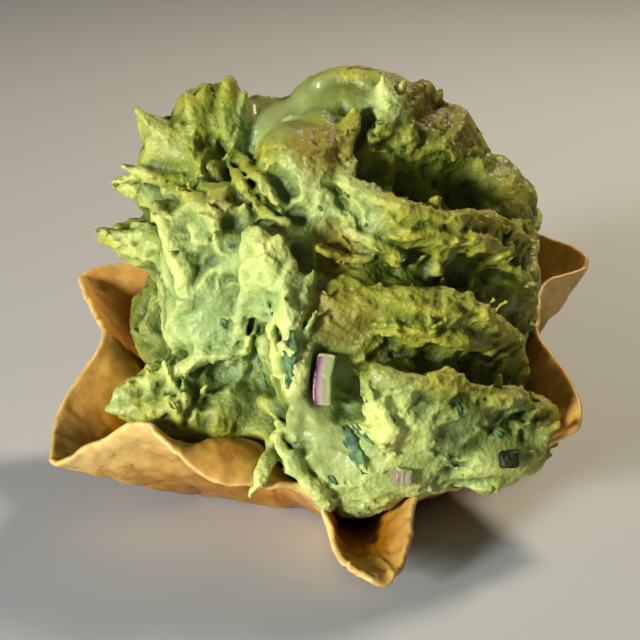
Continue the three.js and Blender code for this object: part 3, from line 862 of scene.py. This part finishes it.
# the last number is the share at the back, out of the frame's sight
TONES = (("dried_and_warm_lit", DRIED_AND_WARM_LIT, 0), ("fresh_and_lit", FRESH_AND_LIT, 0.5), ("pale", PAINTED_LIGHT, 0), ("painted_shade", PAINTED_SHADE, 0))
for name, marks, behind in TONES:
    in_sight = patch_share(heap_points, marks, 0.5, 1.3, 0.25)
    keep_value(mash, name, np.maximum(in_sight, behind * smoothstep(0, 16, heap_points[:, 1])))

tree, shader = new_material("mashed avocado", mash)
where = add(tree, "ShaderNodeTexCoord").outputs["Object"]
cloud = noise_in(tree, where, 70, 4, 0.6).outputs["Fac"]
drift = noise_in(tree, where, 160, 3, 0.55).outputs["Fac"]
mottle = noise_in(tree, where, 700, 3, 0.65).outputs["Fac"]
grain = add(tree, "ShaderNodeTexVoronoi", {"Vector": where, "Scale": 950, "Randomness": 1.0})
# painted shade in the hollows, painted light on the crests
hollow_shade_mix = add(tree, "ShaderNodeMix", {
    "Factor": 0.7, "A": stored(tree, "relief"), "B": stored(tree, "broad")}, data_type="FLOAT")
level = reckon(tree, "ADD", hollow_shade_mix.outputs["Result"], rescale(tree, drift, 0, 1, -0.2, 0.2))
crest_light_hollow_shade = ramp(tree, level, [
    (0.18, srgb(70, 86, 30)), (0.4, srgb(126, 146, 66)), (0.56, srgb(166, 184, 104)),
    (0.8, srgb(202, 210, 122))])
green = blend(tree, rescale(tree, cloud, 0.42, 0.66, 0, 0.75), crest_light_hollow_shade, srgb(152, 178, 112))
flecked = blend(tree, rescale(tree, mottle, 0.66, 0.76, 0, 0.35), green, srgb(74, 96, 36))
# its age, with painted light and shade: olive and darker away from the fresh patches, golden where dried or
# warm lit, paler with painted light and darker with painted shade
unfresh_and_shaded = rescale(tree, stored(tree, "fresh_and_lit"), 0, 1, 1, 0)
olive_and_shaded = blend(tree, unfresh_and_shaded, flecked, (0.7, 0.61, 0.21), "MULTIPLY")
# golden where dried: partly its own colour, partly painted warm light and painted shade
golden_and_warm_lit = blend(tree, stored(tree, "dried_and_warm_lit"), olive_and_shaded, srgb(146, 132, 44))
# paler: painted light
with_painted_light = blend(tree, rescale(tree, stored(tree, "pale"), 0, 1, 0, 0.75), golden_and_warm_lit, srgb(216, 226, 126))
# darker: painted shade
with_painted_shade = blend(tree, stored(tree, "painted_shade"), with_painted_light, (0.42, 0.46, 0.36), "MULTIPLY")
# even and shiny where the spoon smoothed it
sleek = rescale(tree, stored(tree, "smooth"), 0.3, 1, 0, 0.85)
sleek_tone = ramp(tree, cloud, [(0.38, srgb(118, 130, 66)), (0.6, srgb(156, 168, 106))])
shine = add(tree, "ShaderNodeMix", {
    "Factor": sleek, "A": rescale(tree, cloud, 0.3, 0.65, 0.6, 0.4), "B": 0.28}, data_type="FLOAT")
bump = add(tree, "ShaderNodeBump", {
    "Height": reckon(tree, "ADD", grain.outputs["Distance"], mottle),
    "Strength": rescale(tree, sleek, 0, 1, 0.55, 0.06), "Distance": 0.0004})
finish_with(tree, shader, blend(tree, sleek, with_painted_shade, sleek_tone), {
    "Roughness": shine.outputs["Result"], "Specular IOR Level": 0.42,
    "Subsurface Weight": 0.08, "Subsurface Radius": (1.0, 1.0, 0.3), "Subsurface Scale": 0.001,
    "Normal": bump.outputs["Normal"]})


# ---------------------------------------------------------------------------------------------------------
# Red onion. A stick and a small dice of raw onion, cut square across its layers and pressed into the mash.
# The skin side of a layer is purple, its inside is pale and glassy.
# ---------------------------------------------------------------------------------------------------------


def box_skin(counts):
    """Points of a box's skin, each axis from -1 to 1 in so many steps, and its faces."""
    index = {}
    faces = []

    def point(place):
        return index.setdefault(place, len(index))

    for axis in range(3):
        a, b = (axis + 1) % 3, (axis + 2) % 3
        for side in (0, counts[axis]):
            for i in range(counts[a]):
                for j in range(counts[b]):
                    corners = []
                    for di, dj in ((0, 0), (1, 0), (1, 1), (0, 1)):
                        place = [0, 0, 0]
                        place[axis], place[a], place[b] = side, i + di, j + dj
                        corners.append(point(tuple(place)))
                    faces.append(corners if side else corners[::-1])
    return np.array(list(index)) / counts * 2 - 1, faces


def pressed_bit(name, node, size, at, up, out, rough=0.12, bow=0.0, square=8, seed=0):
    """A small cut block with worn edges, its middle `at`, turned to look `out` and bowed to its left."""
    counts = [max(4, round(length / 0.22)) for length in size]
    unit, faces = box_skin(counts)
    soft = unit / (np.sum(np.abs(unit) ** square, axis=1) ** (1 / square))[:, None]
    local = soft * np.array(size) / 2
    local[:, 0] += bow * (unit[:, 1] ** 2 - 0.5)
    z = Vector(out).normalized()
    x = Vector(up).cross(z).normalized()
    turn = np.array((x, z.cross(x), z))
    points = local @ turn + at
    points += rough * np.stack([layered(points, 2.2, 2, seed=seed + k) for k in range(3)], axis=1)
    piece = new_piece(name, points, faces, node)
    keep_value(piece, "across", (unit[:, 0] + 1) / 2)
    keep_value(piece, "along", (unit[:, 1] + 1) / 2)
    return piece


stick = pressed_bit("red_onion_stick_cut", "red_onion_stick", (4.1, 11, 4.6),
                    (0.9, -40.2, 40.8), (0.1, 0.4, 0.9), (-0.1, -0.9, 0.4), 0.2, 0.5, 8, 91)
dice_cut = pressed_bit("red_onion_dice_cut", "red_onion_dice", (3.6, 3.8, 3.2),
                       (17.6, -46.6, 21.1), (0.1, 0.2, 0.9), (0.3, -0.9, 0.2), 0.4, 0.2, 5, 94)

SKIN_SIDE = [
    (0.06, srgb(78, 40, 54)), (0.2, srgb(124, 78, 96)), (0.32, srgb(170, 136, 142)),
    (0.52, srgb(184, 166, 150)), (0.6, srgb(152, 160, 110)), (0.85, srgb(166, 174, 120))]
INNER_LAYER = [
    (0.1, srgb(150, 128, 116)), (0.3, srgb(196, 186, 156)), (0.45, srgb(150, 112, 112)),
    (0.55, srgb(198, 190, 156)), (0.8, srgb(180, 184, 134))]

for onion, tones in ((stick, SKIN_SIDE), (dice_cut, INNER_LAYER)):
    tree, shader = new_material("red onion", onion)
    where = add(tree, "ShaderNodeTexCoord").outputs["Object"]
    veins = noise_in(tree, where, 900, 2).outputs["Fac"]
    place = reckon(tree, "ADD", stored(tree, "across"), rescale(tree, veins, 0, 1, -0.08, 0.08))
    # the upper end of each bit paler and yellower: a painted highlight where light falls on it
    top_highlight = rescale(tree, stored(tree, "along"), 0.93, 1, 0, 0.8)
    finish_with(tree, shader, blend(tree, top_highlight, ramp(tree, place, tones), srgb(214, 220, 140)), {
        "Roughness": 0.28, "Subsurface Weight": 0.25, "Subsurface Radius": (1.0, 0.8, 0.8),
        "Subsurface Scale": 0.001})


# ---------------------------------------------------------------------------------------------------------
# Green chilli. One bit of fresh chilli, cut small, with its dark green skin turned outwards. It is pressed
# into the mash of the lowest ledge.
# ---------------------------------------------------------------------------------------------------------

chilli = pressed_bit("green_chilli_cut", "green_chilli_bit", (4.3, 3.8, 2.4),
                     (40.6, -42.8, 23.3), (0, 0.3, 1), (0.1, -0.9, 0.3), 0.6, 0.3, 4, 97)
tree, shader = new_material("green chilli", chilli)
where = add(tree, "ShaderNodeTexCoord").outputs["Object"]
skin = noise_in(tree, where, 500, 2).outputs["Fac"]
tone = ramp(tree, skin, [(0.35, srgb(12, 18, 8)), (0.65, srgb(38, 52, 20))])
finish_with(tree, shader, tone, {"Roughness": 0.5, "Specular IOR Level": 0.3})


# ---------------------------------------------------------------------------------------------------------
# Coriander leaf. Shreds of chopped leaf and stalk stirred into the mash: thin, dark green and crumpled, lying
# on it or half sunk in it.
# ---------------------------------------------------------------------------------------------------------

# (u, v) of both ends in the frame, and width
LEAVES = {
    "beside the ridge": ((292, 330), (288, 392), 3.0),
    "its stalk": ((254, 340), (268, 392), 0.9),
    "in the foot": ((344, 426), (366, 476), 3.2),
    "beside it": ((352, 424), (376, 446), 1.4),
    "stalk on the dome": ((374, 118), (369, 156), 0.9),
    "on the shelf": ((198, 178), (206, 184), 1.4),
    "on the ledge": ((398, 250), (404, 262), 1.6),
    "by the spikes": ((238, 118), (246, 128), 1.0),
    "in the left face": ((222, 318), (226, 332), 1.4),
    "under the left face": ((188, 372), (196, 380), 1.2),
    "by the chilli": ((494, 430), (505, 440), 1.6),
    "on the low ledge": ((456, 402), (462, 418), 1.2),
    "at the rim": ((328, 476), (340, 488), 1.4),
}
STRAY_LEAVES = 70
LEAF_THICKNESS = 0.22


def leaf_shred(places, outs, wide, seed):
    """Points and faces of a crumpled strip along places on the mash, a little proud of it."""
    draw = np.random.default_rng(seed)
    count = len(places)
    along = np.gradient(places, axis=0)
    side = np.cross(outs, along)
    side /= np.linalg.norm(side, axis=1)[:, None] + 1e-9
    share = np.linspace(0, 1, count)
    half = wide / 2 * np.sin(math.pi * (0.12 + 0.8 * share)) * draw.uniform(0.7, 1.25, count)
    rows = []
    for across in (-1, -0.5, 0, 0.5, 1):
        lift = 0.12 + 0.03 * wide + 0.1 * abs(across) + draw.normal(0, 0.07, count)
        aside = half * across * draw.uniform(0.8, 1.2, count)
        rows.append(places + side * aside[:, None] + outs * lift[:, None])
    top = np.concatenate(rows)
    under = top - np.tile(outs, (5, 1)) * LEAF_THICKNESS
    faces = []
    for row in range(4):
        for k in range(count - 1):
            a = row * count + k
            b, c, d = a + 1, a + count + 1, a + count
            faces.append((a, b, c, d))
            faces.append((d + len(top), c + len(top), b + len(top), a + len(top)))
    edge = [k for k in range(count)] + [r * count + count - 1 for r in range(1, 5)]
    edge += [4 * count + k for k in range(count - 2, -1, -1)] + [r * count for r in range(3, 0, -1)]
    for a, b in zip(edge, edge[1:] + edge[:1]):
        faces.append((b, a, a + len(top), b + len(top)))
    return np.concatenate([top, under]), faces


leaf_points, leaf_faces = [], []
sown = np.random.default_rng(5)
strips = []
for start, end, wide in LEAVES.values():
    marks = [tuple(np.array(start) + (np.array(end) - start) * k / 4) for k in range(5)]
    strips.append((*polyline(heap_tree, marks, 0.7), wide))
bowl_gap = sampled(bowl_field, mash_corner, MASH_CELL, heap_points)
while len(strips) < len(LEAVES) + STRAY_LEAVES:
    pick = sown.integers(0, len(heap_points))
    if bowl_gap[pick] < 2:
        continue
    out = heap_normals[pick]
    way = np.cross(out, sown.normal(size=3))
    way /= np.linalg.norm(way)
    long = sown.uniform(0.7, 1.9)
    line = heap_points[pick] + np.outer(np.linspace(-0.5, 0.5, 4) * long, way)
    found = [heap_tree.find_nearest(place)[:2] for place in line.tolist()]
    places, outs = (np.array([f[k] for f in found]) for k in (0, 1))
    strips.append((places, outs, long * sown.uniform(0.35, 0.8)))
for k, (places, outs, wide) in enumerate(strips):
    points, faces = leaf_shred(places, outs, wide, k)
    start = sum(len(done) for done in leaf_points)
    leaf_points.append(points)
    leaf_faces += [tuple(c + start for c in face) for face in faces]
leaves = new_piece("coriander_leaf", np.concatenate(leaf_points), leaf_faces)
tree, shader = new_material("coriander leaf", leaves)
where = add(tree, "ShaderNodeTexCoord").outputs["Object"]
age = noise_in(tree, where, 520, 3).outputs["Fac"]
tone = ramp(tree, age, [(0.38, srgb(34, 68, 40)), (0.62, srgb(108, 148, 86))])
finish_with(tree, shader, tone, {"Roughness": 0.6})


# ---------------------------------------------------------------------------------------------------------
# Table top and light. A pale floor and soft studio lamps: the brighter one from the left and a little in
# front, a weaker warm one from behind on the right.
# ---------------------------------------------------------------------------------------------------------

TABLE_REACH = 2  # metres from the middle to each side
table_corners = [(x * TABLE_REACH, y * TABLE_REACH, 0) for x, y in ((-1, -1), (1, -1), (1, 1), (-1, 1))]
table = bpy.data.meshes.new("table")
table.from_pydata(table_corners, [], [(0, 1, 2, 3)])
table_top = bpy.data.objects.new("table_top", table)
bpy.context.scene.collection.objects.link(table_top)
tree, shader = new_material("pale table", table_top)
finish_with(tree, shader, (0.56, 0.59, 0.62, 1), {"Roughness": 0.9})


def lamp(name, place, target, size, power, colour):
    """A square lamp at a place in metres, turned to a target."""
    light = bpy.data.lights.new(name, "AREA")
    light.size = size
    light.energy = power
    light.color = colour
    holder = bpy.data.objects.new(name, light)
    holder.location = place
    holder.rotation_mode = "QUATERNION"
    holder.rotation_quaternion = (Vector(target) - Vector(place)).to_track_quat("-Z", "Y")
    bpy.context.scene.collection.objects.link(holder)


lamp("key lamp", (-0.57, -0.59, 0.2), (0, 0, 0.04), 0.15, 9.5, (1.0, 1.0, 0.97))
lamp("back lamp", (0.3, 0.36, 0.6), (0, 0, 0.05), 0.15, 3.8, (1.0, 0.84, 0.58))
lamp("soft lamp", (0.1, -0.8, 0.9), (0, 0, 0.04), 0.9, 0.4, (1.0, 1.0, 1.0))
world = bpy.data.worlds.new("studio")
bpy.context.scene.world = world
world.use_nodes = True
world.node_tree.nodes["Background"].inputs["Color"].default_value = (0.9, 0.92, 1.0, 1)
world.node_tree.nodes["Background"].inputs["Strength"].default_value = 0.02
bpy.context.scene.view_settings.view_transform = "Standard"
